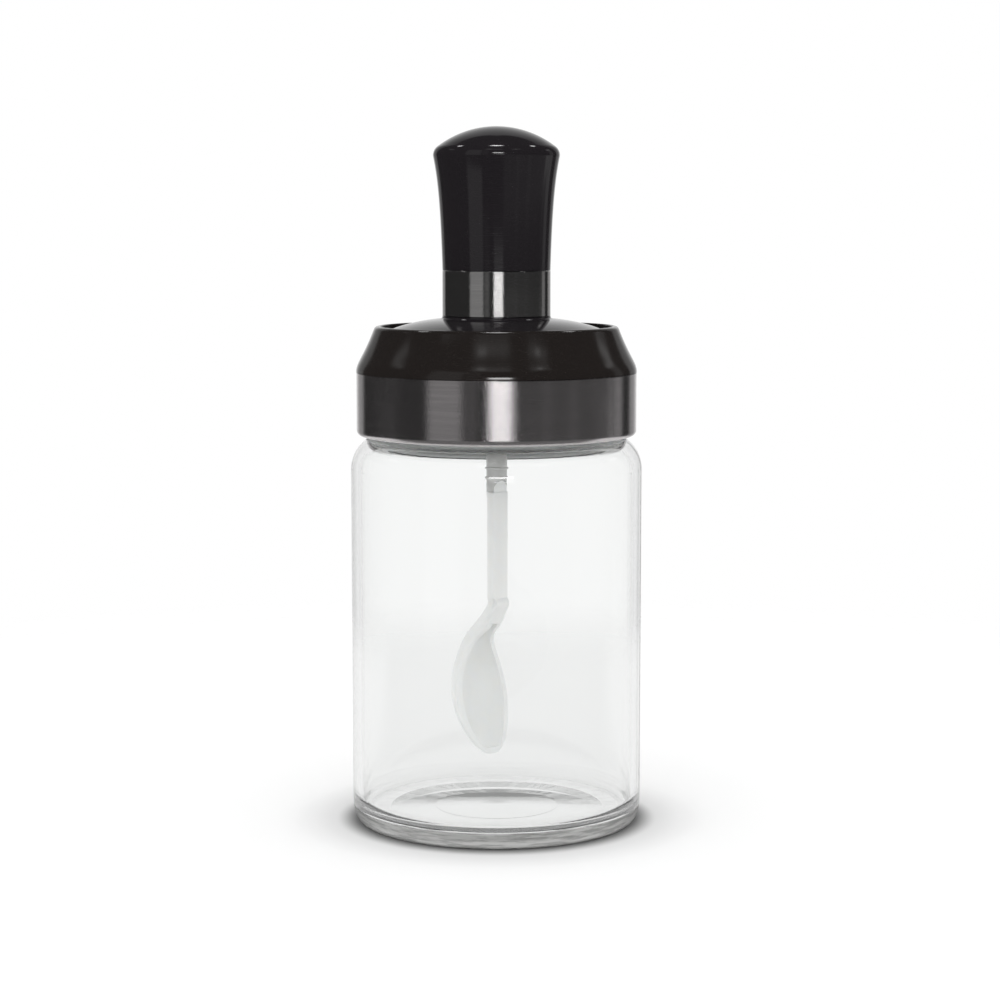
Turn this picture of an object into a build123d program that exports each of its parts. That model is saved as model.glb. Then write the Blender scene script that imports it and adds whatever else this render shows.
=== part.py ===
from build123d import *
import os
from math import copysign, cos, pi, sin, sqrt

# A glass condiment jar with a screw-on collar. A plug with a tall knob closes the
# collar and carries the spoon. Millimetres, +Z up, origin at the middle of the base.

# Small rounds on moulded edges
FINE_EDGE = 0.2
SOFT_EDGE = 0.3
FULL_EDGE = 0.5

# Glass jar
JAR_RADIUS = 32.5
JAR_WALL = 2.2
JAR_FLOOR = 3.4
JAR_WALL_TOP = 79.5
SHOULDER_ROUND = 7.8
BASE_HEEL_WIDTH = 2.0
BASE_HEEL_HEIGHT = 5.5
INNER_BASE_ROUND = 3.2
BASE_RING_RADIUS = 24.0
PUNT_DEPTH = 1.0
BASE_MARK_RADIUS = 13.8
BASE_MARK_DEPTH = 0.3
NECK_RADIUS = 26.8
NECK_WALL = 2.5
NECK_HEIGHT = 12.6
LIP_ROUND = 0.9

# Screw thread between the neck and the collar
THREAD_PITCH = 4.2
THREAD_CLEARANCE = 0.5
THREAD_START = 3.0
GLASS_THREAD_TURNS = 1.25
GLASS_THREAD_HEIGHT = 1.2
GLASS_THREAD_ROOT = 2.2
GLASS_THREAD_CREST = 1.0
CAP_THREAD_TURNS = 1.0
CAP_THREAD_HEIGHT = 1.2
CAP_THREAD_ROOT = 1.8
CAP_THREAD_CREST = 0.8
THREAD_BITE = 0.2
THREAD_STEPS_PER_TURN = 24
THREAD_END_SHARE = 0.25
THREAD_FADE_STEPS = 3
CAP_THREAD_FIRST_ANGLE = 90.0

# Collar: gasket, threaded insert, glossy cover and steel band
SEAT_GAP = 0.1
PRESS_GAP = 0.05
GASKET_THICKNESS = 1.2
GASKET_INNER_RADIUS = 23.4
GASKET_EDGE_GAP = 0.3
INSERT_WALL = 1.15
INSERT_CEILING = 1.4
INSERT_LIP = 1.3
COVER_SKIRT_WALL = 1.05
COVER_WALL = 1.8
COVER_WEB = 1.8
COVER_BORE_LIP = 1.7
COVER_LIP_OVERHANG = 0.05
COVER_CONE_HEIGHT = 10.2
COVER_RIM_RADIUS = 27.0
COVER_RIM_WALL = 1.2
COVER_RIM_OUTER_ROUND = 1.1
COVER_RIM_INNER_ROUND = 0.35
RECESS_DEPTH = 4.2
COLLAR_BORE_RADIUS = 22.5
BAND_HEIGHT = 14.0
BAND_THICKNESS = 0.4
BAND_ROUND = 1.2
BAND_EDGE_ROUND = 0.15

# Plug: domed cap, plug body and silicone ring
DOME_EDGE_GAP = 0.5
DOME_EDGE_HEIGHT = 2.7
DOME_EDGE_ROUND = 0.6
DOME_EDGE_WALL = 1.6
DOME_HEIGHT = 6.3
DOME_CROWN = 0.45
DOME_WALL = 2.0
DOME_FOOT_WIDTH = 1.3
DOME_FOOT_HEIGHT = 0.65
DOME_LAND_DEPTH = 1.9
DOME_RIB_LENGTH = 4.4
DOME_RIB_WALL = 1.8
PLUG_GAP = 1.3
PLUG_WALL = 2.0
PLUG_DEPTH = 6.3
PLUG_FLOOR = 1.8
PLUG_GROOVE_DEPTH = 1.0
PLUG_GROOVE_WIDTH = 2.8
PLUG_GROOVE_RISE = 2.2
PLUG_BOSS_WALL = 1.9
PLUG_BOSS_HEIGHT = 8.6
SEAL_SIDE_GAP = 0.1
SEAL_BORE_GAP = 0.2
SEAL_LIP_HEIGHT = 0.9

# Knob, steel sleeve and the screw inside
SLEEVE_RADIUS = 12.05
SLEEVE_THICKNESS = 0.4
SLEEVE_LENGTH = 10.1
SLEEVE_EDGE_ROUND = 0.15
KNOB_LENGTH = 31.6
KNOB_HEAD_RADIUS = 14.0
KNOB_CROWN_HEIGHT = 6.6
KNOB_CROWN_EDGE_DROP = 4.3
KNOB_CROWN_EDGE_RADIUS = 12.9
KNOB_FOOT_STEP = 0.05
KNOB_WALL = 2.2
KNOB_TOP_WALL = 1.0
KNOB_HOLLOW_ROUND = 3.0
KNOB_BOSS_RADIUS = 3.6
KNOB_BOSS_ROOT_ROUND = 1.0
SPIGOT_WALL = 1.8
SPIGOT_TOP = 2.0
SPIGOT_ENGAGEMENT = 3.3
SCREW_RADIUS = 1.45
SCREW_LENGTH = 17.0
SCREW_HEAD_RADIUS = 2.9
SCREW_HEAD_HEIGHT = 1.9
SCREW_HEAD_ROUND = 0.8
SCREW_TIP_RADIUS = 0.3
SCREW_TIP_LENGTH = 2.9
SCREW_PILOT_GAP = 0.05
SCREW_HOLE_GAP = 0.25
SCREW_TIP_ROOM = 2.0
SCREW_SLOT_WIDTH = 0.7
SCREW_SLOT_LENGTH = 3.5
SCREW_SLOT_DEPTH = 1.0

# Spoon socket under the plug
SOCKET_RADIUS = 2.3
SOCKET_LENGTH = 26.5
SOCKET_COLLAR_RADIUS = 4.6
SOCKET_COLLAR_HEIGHT = 1.4
SOCKET_SHANK_RADIUS = 3.1
SOCKET_SHANK_LENGTH = 6.8
SOCKET_BEAD_RADIUS = 0.35
SOCKET_NECK_ROUND = 0.8
SOCKET_BEAD_HEIGHTS = (3.2, 6.3)

# Spoon, opening towards -Y before it is turned to its rest position
SPOON_TURN = 42.0
SPOON_FIT = 0.1
TANG_WIDTH = 2.6
TANG_THICKNESS = 1.6
TANG_LENGTH = 20.0
TONGUE_RADIUS = 1.85
TONGUE_SHOULDER = 0.8
TONGUE_SIDE_STEP = 0.25
STEM_TOP_WIDTH = 4.6
STEM_TOP_THICKNESS = 3.1
STEM_LENGTH = 24.0
STEM_WIDTH = 4.5
STEM_THICKNESS = 3.0
STEM_SQUARENESS = 0.6
SPOON_BEND_LENGTH = 10.5
SPOON_BEND_LAG = 2.2
SPOON_SET_BACK = 6.7
BOWL_LENGTH = 25.5
BOWL_WIDTH = 14.9
BOWL_DEPTH = 6.8
BOWL_WALL = 1.35
BOWL_TIP_LIFT = 4.5
BOWL_NECK_SHARE = 0.53
BOWL_TAPER = 1.2
SECTION_POINTS = 16
SECTION_FRONT_BULGE = 0.5
SPOON_SECTIONS = 20
HOLLOW_SECTIONS = 10
TIP_SHARE = 0.992
HOLLOW_START_SHARE = 0.2
HOLLOW_FRONT = 2.5

# Where the curves of cover, dome and knob are steered, in shares of their width and height
COVER_SIDE_LOW = (1.0, 0.22)
COVER_SIDE_HIGH = (0.6, 0.33)
DOME_FOOT_LOW = (0.0, 0.0)
DOME_FOOT_HIGH = (0.33, 0.23)
KNOB_SIDE_LOW = (0.2, 0.57)
KNOB_SIDE_HIGH = (0.5, 0.8)
KNOB_EDGE_LOW = (0.1, 0.8)
KNOB_EDGE_HIGH = (0.7, -0.45)

# Where the spoon's shape changes, in shares of its bend or its bowl
NECK_START = 0.3
HOLLOW_TOP = 0.42
DEPTH_START = 0.6
HOLLOW_EASE = 0.6
DEEPEST_BELOW_WIDEST = 0.05
TIP_CURL_START = 0.24
TIP_CURL_POWER = 1.5
TIP_DEPTH_POWER = 0.75

# Two radii nearer than this are the same, and cutters reach this far past what they cut
SAME_RADIUS = 0.01
CUT_ROOM = 1.0

# Heights and radii that follow from the sizes above
SHOULDER_CENTRE = JAR_RADIUS - SHOULDER_ROUND
NECK_ROOT = JAR_WALL_TOP + sqrt(SHOULDER_ROUND**2 - (NECK_RADIUS - SHOULDER_CENTRE) ** 2)
NECK_BORE_RADIUS = NECK_RADIUS - NECK_WALL
LIP_TOP = NECK_ROOT + NECK_HEIGHT
GASKET_BOTTOM = LIP_TOP + SEAT_GAP
CEILING = GASKET_BOTTOM + GASKET_THICKNESS + SEAT_GAP
INSERT_BORE_RADIUS = NECK_RADIUS + GLASS_THREAD_HEIGHT + THREAD_CLEARANCE
INSERT_RADIUS = INSERT_BORE_RADIUS + INSERT_WALL
SKIRT_BORE_RADIUS = INSERT_RADIUS + PRESS_GAP
SKIRT_RADIUS = SKIRT_BORE_RADIUS + COVER_SKIRT_WALL
BAND_BORE_RADIUS = SKIRT_RADIUS + PRESS_GAP
BAND_RADIUS = BAND_BORE_RADIUS + BAND_THICKNESS
BAND_TOP = CEILING - PRESS_GAP
BAND_BOTTOM = BAND_TOP - BAND_HEIGHT
SKIRT_BOTTOM = BAND_BOTTOM + BAND_THICKNESS + PRESS_GAP
INSERT_TOP = CEILING + INSERT_CEILING
RIM_TOP = CEILING + COVER_CONE_HEIGHT
RECESS_FLOOR = RIM_TOP - RECESS_DEPTH
RECESS_RADIUS = COVER_RIM_RADIUS - COVER_RIM_WALL
DOME_BOTTOM = RECESS_FLOOR + SEAT_GAP
DOME_RADIUS = RECESS_RADIUS - DOME_EDGE_GAP
DOME_EDGE_TOP = DOME_BOTTOM + DOME_EDGE_HEIGHT
DOME_TOP = DOME_BOTTOM + DOME_HEIGHT
DOME_LAND = DOME_BOTTOM + DOME_LAND_DEPTH
PLUG_RADIUS = COLLAR_BORE_RADIUS - PLUG_GAP
PLUG_INNER_RADIUS = PLUG_RADIUS - PLUG_WALL
PLUG_BOTTOM = DOME_BOTTOM - PLUG_DEPTH
GROOVE_BOTTOM = PLUG_BOTTOM + PLUG_GROOVE_RISE
SLEEVE_TOP = DOME_TOP + SLEEVE_LENGTH
SPIGOT_OUTER_RADIUS = SLEEVE_RADIUS - SLEEVE_THICKNESS - PRESS_GAP
KNOB_BOTTOM = SLEEVE_TOP + PRESS_GAP
KNOB_TOP = KNOB_BOTTOM + KNOB_LENGTH
KNOB_FOOT_RADIUS = SLEEVE_RADIUS - KNOB_FOOT_STEP
KNOB_BORE_RADIUS = KNOB_FOOT_RADIUS - KNOB_WALL
SPIGOT_RADIUS = KNOB_BORE_RADIUS - PRESS_GAP
SPIGOT_BORE_RADIUS = SPIGOT_RADIUS - SPIGOT_WALL
SPIGOT_END = KNOB_BOTTOM + SPIGOT_ENGAGEMENT
SOCKET_BOTTOM = PLUG_BOTTOM - SOCKET_LENGTH
STEM_TOP = SOCKET_BOTTOM - SPOON_FIT
BEND_TOP = STEM_TOP - STEM_LENGTH
BEND_BOTTOM = BEND_TOP - SPOON_BEND_LENGTH
BOWL_BOTTOM = BEND_BOTTOM - BOWL_LENGTH
BOWL_WIDEST = BOWL_BOTTOM + BOWL_LENGTH * BOWL_NECK_SHARE


def sag(radius, edge_radius, edge_drop):
    """Drop at a radius of a round crown that falls by edge_drop at edge_radius."""
    ball = (edge_radius**2 + edge_drop**2) / (2 * edge_drop)
    return ball - sqrt(ball**2 - radius**2)


def crown_arc(edge_radius, edge_drop, top):
    """Arc of a crown centred on the jar's axis, from its edge up to its top."""
    middle = edge_radius / 2
    return ThreePointArc(
        (edge_radius, top - edge_drop),
        (middle, top - sag(middle, edge_radius, edge_drop)),
        (0, top),
    )


def steered(shares, radius, height, width, rise):
    """Steering point of a curve, at shares of a width and a rise from a radius and height."""
    return (radius + shares[0] * width, height + shares[1] * rise)


def turned(*corners):
    """Turn a closed outline of (radius, height, corner round) about the jar's axis."""
    points = [(radius, height) for radius, height, _ in corners]
    rounds = [corner_round for _, _, corner_round in corners]
    outline = FilletPolyline(*points, radius=rounds, close=True)
    return revolve(Plane.XZ * make_face(outline), Axis.Z)


def open_line(*corners):
    """Open outline through (radius, height, corner round), whose two ends stay sharp."""
    points = [(radius, height) for radius, height, _ in corners]
    rounds = [corner_round for _, _, corner_round in corners[1:-1]]
    return FilletPolyline(*points, radius=rounds)


def turned_lines(*lines):
    """Turn a closed outline made of lines and curves about the jar's axis."""
    return revolve(Plane.XZ * make_face(Curve() + list(lines)), Axis.Z)


def thread_ridge(radius, height, root, crest, start, turns, first_angle):
    """A screw ridge: height is its reach from radius, negative when it points inwards."""
    bite = -THREAD_BITE if height > 0 else THREAD_BITE
    steps = round(turns * THREAD_STEPS_PER_TURN)
    sections = []
    for step in range(steps + 1):
        angle = 360 * step / THREAD_STEPS_PER_TURN
        middle = start + THREAD_PITCH * angle / 360
        steps_to_end = min(step, steps - step)
        reach = height * min(1, THREAD_END_SHARE + steps_to_end / THREAD_FADE_STEPS)
        corners = [
            (radius + bite, middle - root / 2),
            (radius + reach, middle - crest / 2),
            (radius + reach, middle + crest / 2),
            (radius + bite, middle + root / 2),
        ]
        plane = Plane((0, 0, 0), x_dir=(1, 0, 0), z_dir=(0, -1, 0))
        profile = plane * make_face(Polyline(*corners, close=True))
        sections.append(Rot(0, 0, first_angle + angle) * profile)
    return loft(sections, ruled=True)


def glass_jar():
    """Round jar with a thick base, a full shoulder and a threaded neck."""
    punt = crown_arc(BASE_RING_RADIUS, PUNT_DEPTH, PUNT_DEPTH)
    heel_centre = (JAR_RADIUS - BASE_HEEL_WIDTH, BASE_HEEL_HEIGHT)
    foot = Line((BASE_RING_RADIUS, 0), (heel_centre[0], 0))
    heel = EllipticalCenterArc(heel_centre, BASE_HEEL_WIDTH, BASE_HEEL_HEIGHT, 270, arc_size=90)
    wall = Line((JAR_RADIUS, BASE_HEEL_HEIGHT), (JAR_RADIUS, JAR_WALL_TOP))
    turn_of_shoulder = pi / 4
    shoulder = ThreePointArc(
        (JAR_RADIUS, JAR_WALL_TOP),
        (
            SHOULDER_CENTRE + SHOULDER_ROUND * cos(turn_of_shoulder),
            JAR_WALL_TOP + SHOULDER_ROUND * sin(turn_of_shoulder),
        ),
        (NECK_RADIUS, NECK_ROOT),
    )
    inner_round = SHOULDER_ROUND - JAR_WALL
    inner_radius = JAR_RADIUS - JAR_WALL
    inner_top = JAR_WALL_TOP + inner_round
    neck = open_line(
        (NECK_RADIUS, NECK_ROOT, 0),
        (NECK_RADIUS, LIP_TOP, LIP_ROUND),
        (NECK_BORE_RADIUS, LIP_TOP, LIP_ROUND),
        (NECK_BORE_RADIUS, inner_top, 0),
        (SHOULDER_CENTRE, inner_top, 0),
    )
    inner_shoulder = ThreePointArc(
        (SHOULDER_CENTRE, inner_top),
        (
            SHOULDER_CENTRE + inner_round * cos(turn_of_shoulder),
            JAR_WALL_TOP + inner_round * sin(turn_of_shoulder),
        ),
        (inner_radius, JAR_WALL_TOP),
    )
    inside = open_line(
        (inner_radius, JAR_WALL_TOP, 0),
        (inner_radius, JAR_FLOOR, INNER_BASE_ROUND),
        (0, JAR_FLOOR, 0),
        (0, PUNT_DEPTH, 0),
    )
    jar = turned_lines(punt, foot, heel, wall, shoulder, neck, inner_shoulder, inside)
    jar += thread_ridge(
        NECK_RADIUS,
        GLASS_THREAD_HEIGHT,
        GLASS_THREAD_ROOT,
        GLASS_THREAD_CREST,
        NECK_ROOT + THREAD_START,
        GLASS_THREAD_TURNS,
        0,
    )
    mark = Cylinder(BASE_MARK_RADIUS, PUNT_DEPTH + CUT_ROOM, align=(Align.CENTER, Align.CENTER, Align.MIN))
    mark_punt = turned_lines(
        crown_arc(BASE_RING_RADIUS, PUNT_DEPTH, PUNT_DEPTH + BASE_MARK_DEPTH),
        Line((BASE_RING_RADIUS, BASE_MARK_DEPTH), (0, BASE_MARK_DEPTH)),
        Line((0, BASE_MARK_DEPTH), (0, PUNT_DEPTH + BASE_MARK_DEPTH)),
    )
    return jar - (mark & mark_punt)


def jar_gasket():
    """Flat silicone ring between the glass lip and the ceiling of the insert."""
    outer = INSERT_BORE_RADIUS - GASKET_EDGE_GAP
    return turned(
        (GASKET_INNER_RADIUS, GASKET_BOTTOM, FINE_EDGE),
        (outer, GASKET_BOTTOM, FINE_EDGE),
        (outer, GASKET_BOTTOM + GASKET_THICKNESS, FINE_EDGE),
        (GASKET_INNER_RADIUS, GASKET_BOTTOM + GASKET_THICKNESS, FINE_EDGE),
    )


def screw_insert():
    """Plastic ring with the collar's thread and the ceiling that presses the gasket."""
    ring = turned(
        (INSERT_BORE_RADIUS, SKIRT_BOTTOM, SOFT_EDGE),
        (INSERT_RADIUS, SKIRT_BOTTOM, SOFT_EDGE),
        (INSERT_RADIUS, INSERT_TOP, 0),
        (COLLAR_BORE_RADIUS + INSERT_LIP, INSERT_TOP, 0),
        (COLLAR_BORE_RADIUS + INSERT_LIP, CEILING, SOFT_EDGE),
        (INSERT_BORE_RADIUS, CEILING, SOFT_EDGE),
    )
    glass_thread_there = NECK_ROOT + THREAD_START + THREAD_PITCH * CAP_THREAD_FIRST_ANGLE / 360
    return ring + thread_ridge(
        INSERT_BORE_RADIUS,
        -CAP_THREAD_HEIGHT,
        CAP_THREAD_ROOT,
        CAP_THREAD_CREST,
        glass_thread_there - THREAD_PITCH / 2,
        CAP_THREAD_TURNS,
        CAP_THREAD_FIRST_ANGLE,
    )


def outer_edge(shape, radius):
    """Highest round edge of a shape that has the given radius."""
    circles = shape.edges().filter_by(GeomType.CIRCLE)
    return circles.filter_by(lambda edge: abs(edge.radius - radius) < SAME_RADIUS).sort_by(Axis.Z)[-1:]


def collar_cover():
    """Glossy cover: skirt, sloping side, rim and the recess that the dome sits in."""
    lip_radius = BAND_RADIUS + COVER_LIP_OVERHANG
    flare = lip_radius - COVER_RIM_RADIUS
    side = Bezier(
        (lip_radius, CEILING),
        steered(COVER_SIDE_LOW, COVER_RIM_RADIUS, CEILING, flare, COVER_CONE_HEIGHT),
        steered(COVER_SIDE_HIGH, COVER_RIM_RADIUS, CEILING, flare, COVER_CONE_HEIGHT),
        (COVER_RIM_RADIUS, RIM_TOP),
    )
    web_bottom = RECESS_FLOOR - COVER_WEB
    climb = (web_bottom - CEILING) / COVER_CONE_HEIGHT
    web_outer = lip_radius - climb * flare - COVER_WALL
    bore_outer = COLLAR_BORE_RADIUS + COVER_BORE_LIP
    over_insert = INSERT_TOP + PRESS_GAP
    rest = open_line(
        (COVER_RIM_RADIUS, RIM_TOP, 0),
        (RECESS_RADIUS, RIM_TOP, COVER_RIM_INNER_ROUND),
        (RECESS_RADIUS, RECESS_FLOOR, SOFT_EDGE),
        (COLLAR_BORE_RADIUS, RECESS_FLOOR, SOFT_EDGE),
        (COLLAR_BORE_RADIUS, over_insert, 0),
        (bore_outer, over_insert, 0),
        (bore_outer, web_bottom, FULL_EDGE),
        (web_outer, web_bottom, FULL_EDGE),
        (SKIRT_BORE_RADIUS, over_insert, 0),
        (SKIRT_BORE_RADIUS, SKIRT_BOTTOM, 0),
        (SKIRT_RADIUS, SKIRT_BOTTOM, BAND_ROUND - BAND_THICKNESS + PRESS_GAP),
        (SKIRT_RADIUS, CEILING, 0),
        (lip_radius, CEILING, 0),
    )
    cover = turned_lines(side, rest)
    return fillet(outer_edge(cover, COVER_RIM_RADIUS), COVER_RIM_OUTER_ROUND)


def steel_band():
    """Thin steel band round the skirt, rolled in under its bottom edge."""
    lip = SKIRT_BORE_RADIUS + PRESS_GAP
    return turned(
        (BAND_BORE_RADIUS, BAND_TOP, 0),
        (BAND_RADIUS, BAND_TOP, BAND_EDGE_ROUND),
        (BAND_RADIUS, BAND_BOTTOM, BAND_ROUND),
        (lip, BAND_BOTTOM, BAND_EDGE_ROUND),
        (lip, BAND_BOTTOM + BAND_THICKNESS, 0),
        (BAND_BORE_RADIUS, BAND_BOTTOM + BAND_THICKNESS, BAND_ROUND - BAND_THICKNESS),
    )


def dome_cap():
    """Glossy dome with a rib for the plug body below and a hollow spigot on top."""
    foot = SLEEVE_RADIUS
    dome_start = foot + DOME_FOOT_WIDTH
    dome_start_height = DOME_TOP - DOME_FOOT_HEIGHT
    dome_middle = (
        (dome_start + DOME_RADIUS) / 2,
        (dome_start_height + DOME_EDGE_TOP) / 2 + DOME_CROWN,
    )
    fillet_at_foot = Bezier(
        (foot, DOME_TOP),
        steered(DOME_FOOT_LOW, foot, dome_start_height, DOME_FOOT_WIDTH, DOME_FOOT_HEIGHT),
        steered(DOME_FOOT_HIGH, foot, dome_start_height, DOME_FOOT_WIDTH, DOME_FOOT_HEIGHT),
        (dome_start, dome_start_height),
    )
    dome = ThreePointArc((dome_start, dome_start_height), dome_middle, (DOME_RADIUS, DOME_EDGE_TOP))
    rib_outer = PLUG_INNER_RADIUS - PRESS_GAP
    rib_inner = rib_outer - DOME_RIB_WALL
    under_rib = DOME_LAND + DOME_WALL / 2
    under_spigot = DOME_TOP - DOME_WALL
    rest = open_line(
        (DOME_RADIUS, DOME_EDGE_TOP, 0),
        (DOME_RADIUS, DOME_BOTTOM, SOFT_EDGE),
        (DOME_RADIUS - DOME_EDGE_WALL, DOME_BOTTOM, SOFT_EDGE),
        (DOME_RADIUS - DOME_EDGE_WALL, DOME_LAND, 0),
        (rib_outer, DOME_LAND, 0),
        (rib_outer, DOME_LAND - DOME_RIB_LENGTH, SOFT_EDGE),
        (rib_inner, DOME_LAND - DOME_RIB_LENGTH, SOFT_EDGE),
        (rib_inner, under_rib, 0),
        (SPIGOT_BORE_RADIUS + DOME_WALL, under_spigot, 0),
        (SPIGOT_BORE_RADIUS, under_spigot, FULL_EDGE),
        (SPIGOT_BORE_RADIUS, SPIGOT_END - SPIGOT_TOP, FULL_EDGE),
        (SCREW_RADIUS + SCREW_HOLE_GAP, SPIGOT_END - SPIGOT_TOP, 0),
        (SCREW_RADIUS + SCREW_HOLE_GAP, SPIGOT_END, 0),
        (SPIGOT_RADIUS, SPIGOT_END, SOFT_EDGE),
        (SPIGOT_RADIUS, SLEEVE_TOP, 0),
        (SPIGOT_OUTER_RADIUS, SLEEVE_TOP, 0),
        (SPIGOT_OUTER_RADIUS, DOME_TOP, 0),
        (foot, DOME_TOP, 0),
    )
    cap = turned_lines(fillet_at_foot, dome, rest)
    return fillet(outer_edge(cap, DOME_RADIUS), DOME_EDGE_ROUND)


def plug_body():
    """Round plug below the dome, grooved for its seal and bored for the spoon socket."""
    groove = PLUG_RADIUS - PLUG_GROOVE_DEPTH
    groove_top = GROOVE_BOTTOM + PLUG_GROOVE_WIDTH
    shank = SOCKET_SHANK_RADIUS + PRESS_GAP
    boss = shank + PLUG_BOSS_WALL
    boss_top = PLUG_BOTTOM + PLUG_BOSS_HEIGHT
    shank_top = PLUG_BOTTOM + SOCKET_SHANK_LENGTH + PRESS_GAP
    return turned(
        (shank, PLUG_BOTTOM, 0),
        (PLUG_RADIUS, PLUG_BOTTOM, FULL_EDGE),
        (PLUG_RADIUS, GROOVE_BOTTOM, FINE_EDGE),
        (groove, GROOVE_BOTTOM, 0),
        (groove, groove_top, 0),
        (PLUG_RADIUS, groove_top, FINE_EDGE),
        (PLUG_RADIUS, DOME_LAND - PRESS_GAP, FINE_EDGE),
        (PLUG_INNER_RADIUS, DOME_LAND - PRESS_GAP, FINE_EDGE),
        (PLUG_INNER_RADIUS, PLUG_BOTTOM + PLUG_FLOOR, FULL_EDGE),
        (boss, PLUG_BOTTOM + PLUG_FLOOR, FULL_EDGE),
        (boss, boss_top, SOFT_EDGE),
        (0, boss_top, 0),
        (0, shank_top, 0),
        (shank, shank_top, 0),
    )


def plug_seal():
    """Silicone ring in the plug's groove, with a softer lip towards the collar."""
    inner = PLUG_RADIUS - PLUG_GROOVE_DEPTH + SEAL_SIDE_GAP
    outer = COLLAR_BORE_RADIUS - SEAL_BORE_GAP
    bottom = GROOVE_BOTTOM + SEAL_SIDE_GAP
    top = GROOVE_BOTTOM + PLUG_GROOVE_WIDTH - SEAL_SIDE_GAP
    middle = (bottom + top) / 2
    return turned(
        (inner, bottom, 0),
        (PLUG_RADIUS, bottom, FINE_EDGE),
        (outer, middle - SEAL_LIP_HEIGHT / 2, SOFT_EDGE),
        (outer, middle + SEAL_LIP_HEIGHT / 2, SOFT_EDGE),
        (PLUG_RADIUS, top, FINE_EDGE),
        (inner, top, 0),
    )


def handle_sleeve():
    """Steel sleeve held between the dome and the foot of the knob."""
    inner = SLEEVE_RADIUS - SLEEVE_THICKNESS
    bottom = DOME_TOP + PRESS_GAP
    return turned(
        (inner, bottom, 0),
        (SLEEVE_RADIUS, bottom, SLEEVE_EDGE_ROUND),
        (SLEEVE_RADIUS, SLEEVE_TOP, SLEEVE_EDGE_ROUND),
        (inner, SLEEVE_TOP, 0),
    )


def knob_shell():
    """Hollow glossy knob, flared towards its crown, with a screw boss inside."""
    head_height = KNOB_TOP - KNOB_CROWN_HEIGHT
    waist = head_height - KNOB_BOTTOM
    flare = KNOB_HEAD_RADIUS - KNOB_FOOT_RADIUS
    side = Bezier(
        (KNOB_FOOT_RADIUS, KNOB_BOTTOM),
        steered(KNOB_SIDE_LOW, KNOB_FOOT_RADIUS, KNOB_BOTTOM, flare, waist),
        steered(KNOB_SIDE_HIGH, KNOB_FOOT_RADIUS, KNOB_BOTTOM, flare, waist),
        (KNOB_HEAD_RADIUS, head_height),
    )
    crown_edge = KNOB_TOP - KNOB_CROWN_EDGE_DROP
    reach = KNOB_HEAD_RADIUS - KNOB_CROWN_EDGE_RADIUS
    crown_round = Bezier(
        (KNOB_HEAD_RADIUS, head_height),
        steered(KNOB_EDGE_LOW, KNOB_HEAD_RADIUS, head_height, reach, reach),
        steered(KNOB_EDGE_HIGH, KNOB_CROWN_EDGE_RADIUS, crown_edge, reach, reach),
        (KNOB_CROWN_EDGE_RADIUS, crown_edge),
    )
    crown = crown_arc(KNOB_CROWN_EDGE_RADIUS, KNOB_CROWN_EDGE_DROP, KNOB_TOP)
    hollow_top = head_height - KNOB_TOP_WALL
    pilot = SCREW_RADIUS + SCREW_PILOT_GAP
    pilot_top = SPIGOT_END - SPIGOT_TOP + SCREW_LENGTH + SCREW_TIP_ROOM
    boss_bottom = SPIGOT_END + PRESS_GAP
    inside = open_line(
        (0, KNOB_TOP, 0),
        (0, pilot_top, 0),
        (pilot, pilot_top, 0),
        (pilot, boss_bottom, 0),
        (KNOB_BOSS_RADIUS, boss_bottom, SOFT_EDGE),
        (KNOB_BOSS_RADIUS, hollow_top, KNOB_BOSS_ROOT_ROUND),
        (KNOB_BORE_RADIUS, hollow_top, KNOB_HOLLOW_ROUND),
        (KNOB_BORE_RADIUS, KNOB_BOTTOM, FINE_EDGE),
        (KNOB_FOOT_RADIUS, KNOB_BOTTOM, 0),
    )
    return turned_lines(side, crown_round, crown, inside)


def knob_screw():
    """Self-tapping screw that pulls the knob, sleeve and dome together."""
    seat = SPIGOT_END - SPIGOT_TOP
    screw = turned(
        (0, seat - SCREW_HEAD_HEIGHT, 0),
        (SCREW_HEAD_RADIUS, seat - SCREW_HEAD_HEIGHT, SCREW_HEAD_ROUND),
        (SCREW_HEAD_RADIUS, seat, 0),
        (SCREW_RADIUS, seat, 0),
        (SCREW_RADIUS, seat + SCREW_LENGTH - SCREW_TIP_LENGTH, 0),
        (SCREW_TIP_RADIUS, seat + SCREW_LENGTH, 0),
        (0, seat + SCREW_LENGTH, 0),
    )
    slot = Box(SCREW_SLOT_LENGTH, SCREW_SLOT_WIDTH, 2 * SCREW_SLOT_DEPTH)
    cross = slot + Rot(0, 0, 90) * slot
    return screw - Pos(0, 0, seat - SCREW_HEAD_HEIGHT) * cross


def tongue_outline(radius, bottom, shoulder):
    """Arched outline in the X-Z plane, from bottom up to a round end."""
    return Plane.XZ * make_face(
        Polyline((-radius, shoulder), (-radius, bottom), (radius, bottom), (radius, shoulder))
        + ThreePointArc((radius, shoulder), (0, shoulder + radius), (-radius, shoulder))
    )


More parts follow.
